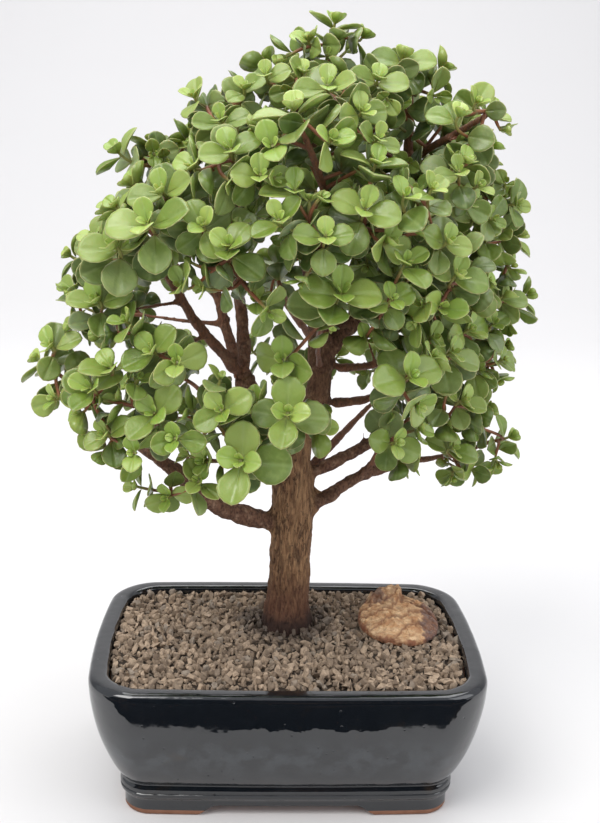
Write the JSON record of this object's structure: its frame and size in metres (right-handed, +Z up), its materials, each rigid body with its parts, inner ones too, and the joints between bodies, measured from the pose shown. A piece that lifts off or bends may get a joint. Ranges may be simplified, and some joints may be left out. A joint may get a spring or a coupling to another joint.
{
  "type": "elephant bush bonsai in a rectangular pot",
  "caption": "Small jade-like bonsai tree with a straight trunk and a wide leafy crown, in a dark glazed rounded rectangular pot with gravel and a flat stone.",
  "frame": {"origin": "on the floor under the foot of the trunk, within 2 mm of the bottom centre of the whole object's box", "axes": "+Z up the trunk, -Y towards the front of the pot's long side, +X to the right as seen from the front"},
  "size_m": [0.2686, 0.2126, 0.3888],
  "materials": {
    "dark_glaze": "glossy near-black blue glaze on stoneware",
    "black_plastic_mesh": "matt moulded mesh",
    "bonsai_mix": "damp granular mix",
    "baked_clay_gravel": "dry angular grains",
    "tan_sandstone": "rough split stone",
    "brown_bark": "fissured bark",
    "jade_green_leaf": "waxy leaf"
  },
  "bodies": {
    "root": {"pot": "dark_glaze", "drain_screen_left": "black_plastic_mesh", "drain_screen_right": "black_plastic_mesh", "soil": "bonsai_mix", "gravel_dressing": "baked_clay_gravel", "accent_stone": "tan_sandstone", "trunk_and_branches": "brown_bark", "back_high_left_shoots": "jade_green_leaf", "back_high_right_shoots": "jade_green_leaf", "back_left_outer_shoots": "jade_green_leaf", "back_left_shoots": "jade_green_leaf", "back_low_left_shoots": "jade_green_leaf", "back_low_right_shoots": "jade_green_leaf", "back_low_shoots": "jade_green_leaf", "back_middle_shoots": "jade_green_leaf", "back_right_outer_shoots": "jade_green_leaf", "back_right_shoots": "jade_green_leaf", "back_top_shoots": "jade_green_leaf", "centre_front_shoots": "jade_green_leaf", "centre_high_shoots": "jade_green_leaf", "centre_right_shoots": "jade_green_leaf", "front_low_shoots": "jade_green_leaf", "front_middle_shoots": "jade_green_leaf", "front_right_shoots": "jade_green_leaf", "front_upper_shoots": "jade_green_leaf", "high_right_end_shoots": "jade_green_leaf", "high_right_front_shoots": "jade_green_leaf", "high_right_low_shoots": "jade_green_leaf", "left_front_shoots": "jade_green_leaf", "left_high_front_shoots": "jade_green_leaf", "left_high_shoots": "jade_green_leaf", "left_low_back_shoots": "jade_green_leaf", "left_low_end_shoots": "jade_green_leaf", "left_low_hang_shoots": "jade_green_leaf", "left_low_middle_shoots": "jade_green_leaf", "left_low_outer_shoots": "jade_green_leaf", "left_low_under_shoots": "jade_green_leaf", "left_middle_end_shoots": "jade_green_leaf", "left_middle_shoots": "jade_green_leaf", "left_upper_front_shoots": "jade_green_leaf", "left_upper_shoots": "jade_green_leaf", "middle_left_front_shoots": "jade_green_leaf", "middle_right_front_shoots": "jade_green_leaf", "right_high_shoots": "jade_green_leaf", "right_inner_shoots": "jade_green_leaf", "right_low_end_shoots": "jade_green_leaf", "right_low_inner_shoots": "jade_green_leaf", "right_low_middle_shoots": "jade_green_leaf", "right_low_outer_shoots": "jade_green_leaf", "right_low_upper_shoots": "jade_green_leaf", "right_middle_end_shoots": "jade_green_leaf", "right_middle_front_shoots": "jade_green_leaf", "right_middle_outer_shoots": "jade_green_leaf", "right_upper_end_shoots": "jade_green_leaf", "right_upper_front_shoots": "jade_green_leaf", "top_centre_shoots": "jade_green_leaf", "top_front_shoots": "jade_green_leaf", "top_left_shoots": "jade_green_leaf", "upper_left_front_shoots": "jade_green_leaf", "upper_left_shoots": "jade_green_leaf"}
  },
  "joints": []
}
